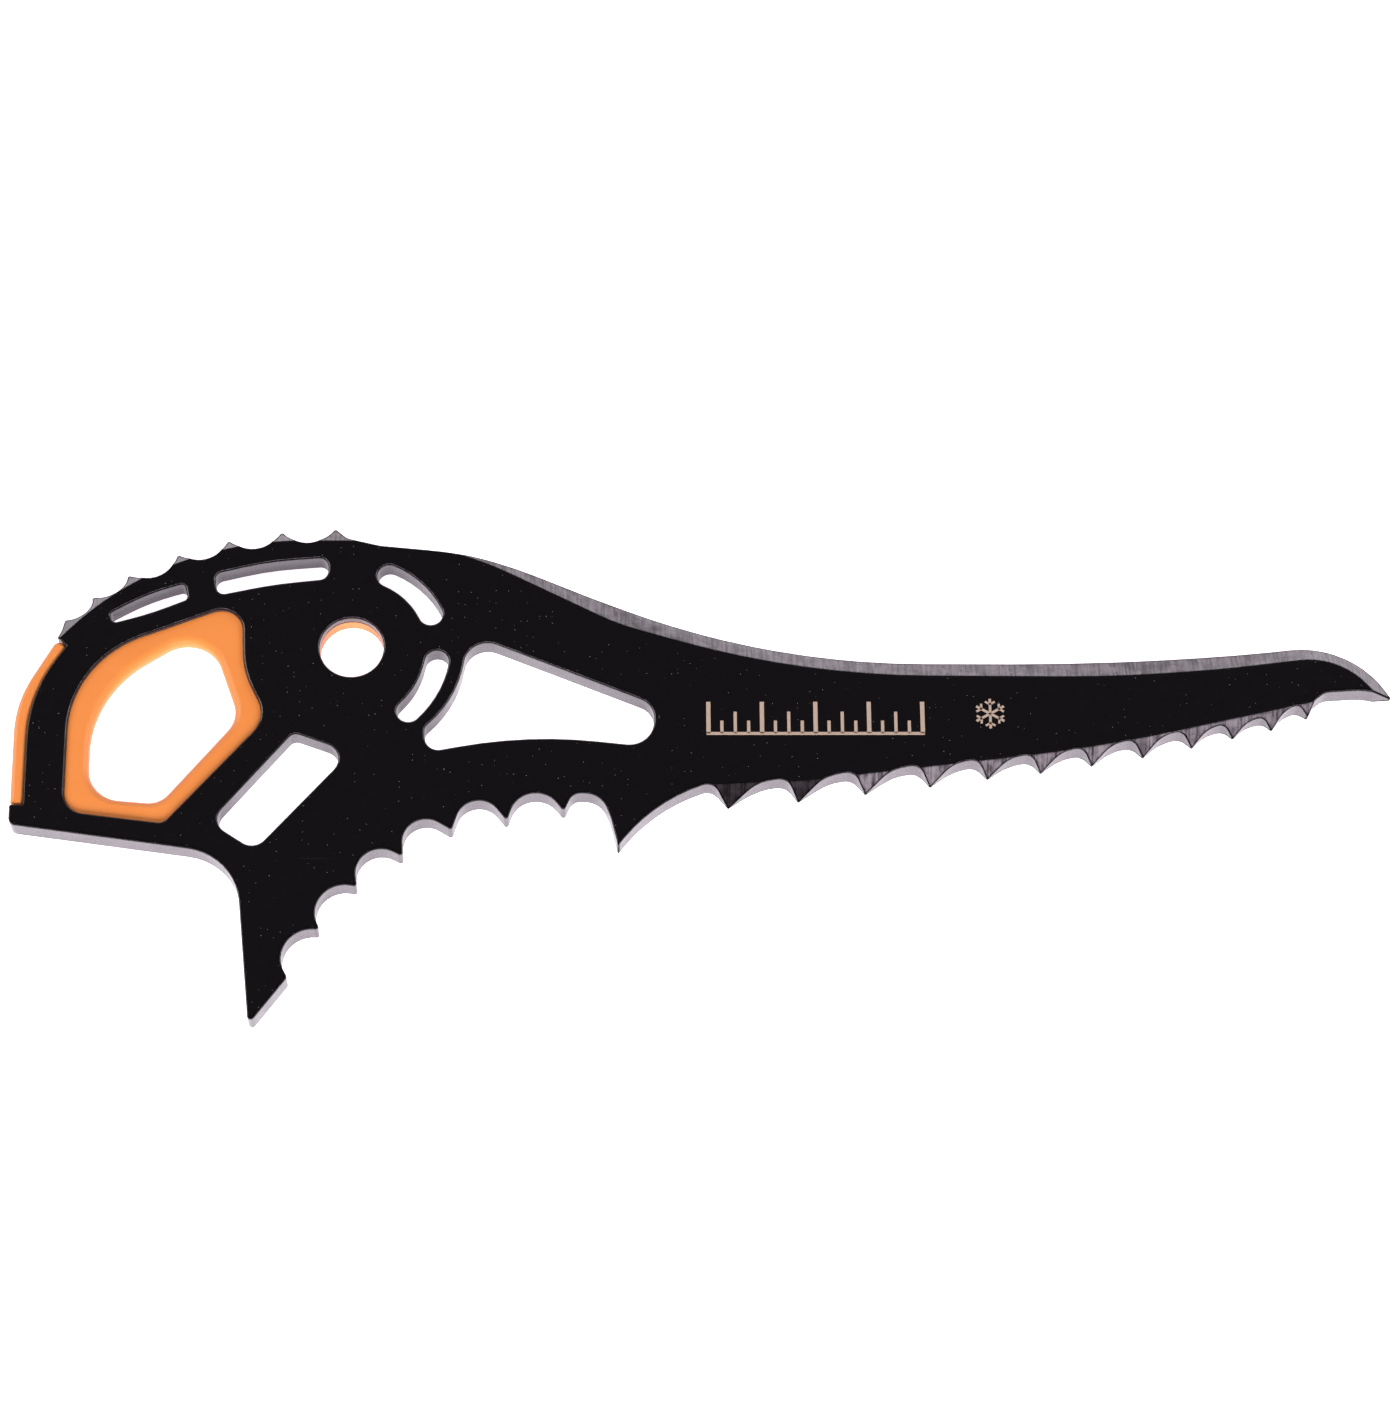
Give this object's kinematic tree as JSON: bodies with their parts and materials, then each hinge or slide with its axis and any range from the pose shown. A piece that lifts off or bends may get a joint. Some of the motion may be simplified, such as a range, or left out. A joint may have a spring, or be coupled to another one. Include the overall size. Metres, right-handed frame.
{
  "type": "ice axe head plate",
  "caption": "Flat one-piece steel head plate of an ice axe: long toothed pick, toothed crown, spiked grip side, bolt hole and slots, with plastic inserts.",
  "frame": {"origin": "on the axis of the clamping bolt hole, at the plate's back face", "axes": "+X along the plate to the tip of the pick, +Y to the toothed crown, +Z along the plate's normal out of the front face"},
  "size_m": [0.2577, 0.0988, 0.005],
  "materials": {
    "coated_steel": "gloss black coating on alloy steel, bare grey where it is ground",
    "orange_plastic": "satin orange plastic"
  },
  "bodies": {
    "root": {"blade": "coated_steel", "hole_liner": "orange_plastic", "back_strip": "orange_plastic", "bolt_bush": "orange_plastic"}
  },
  "joints": []
}
